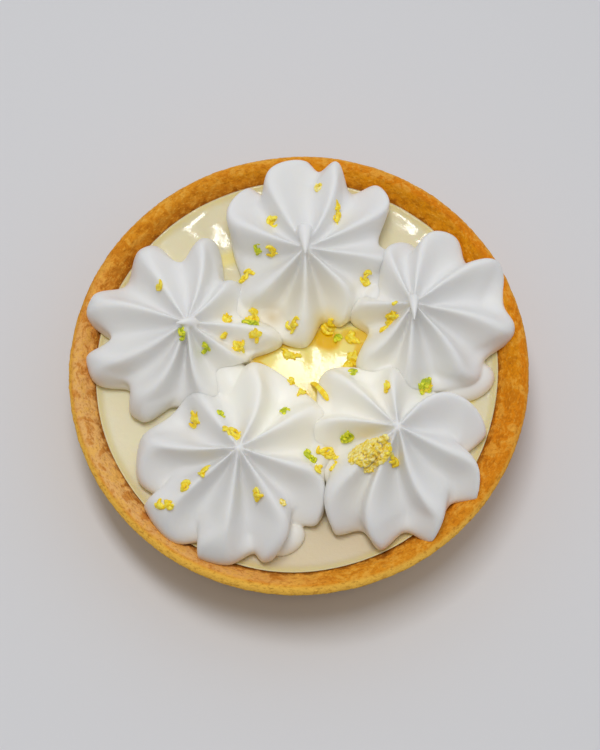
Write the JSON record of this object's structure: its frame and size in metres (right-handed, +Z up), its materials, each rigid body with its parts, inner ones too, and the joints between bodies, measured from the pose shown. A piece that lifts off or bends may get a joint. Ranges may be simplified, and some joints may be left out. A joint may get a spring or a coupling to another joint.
{
  "type": "lemon meringue tartlet",
  "caption": "Round shortcrust tartlet shell filled with lemon curd, topped with star-piped meringues and grated citrus zest.",
  "frame": {"origin": "middle of the flat underside of the pastry shell", "axes": "+Z up, out of the filling; +Y towards meringue_1, the one at the far side; +X to the right"},
  "size_m": [0.0891, 0.0904, 0.0331],
  "materials": {
    "pastry": "baked golden-brown shortcrust, dull and finely crumbed",
    "curd": "set lemon curd, pale yellow and glossy",
    "meringue": "soft unbaked meringue, white with a faint sheen"
  },
  "bodies": {
    "root": {"pastry_shell": "pastry", "lemon_curd": "curd", "meringue_1": "meringue", "meringue_2": "meringue", "meringue_3": "meringue", "meringue_4": "meringue", "meringue_5": "meringue"}
  },
  "joints": []
}
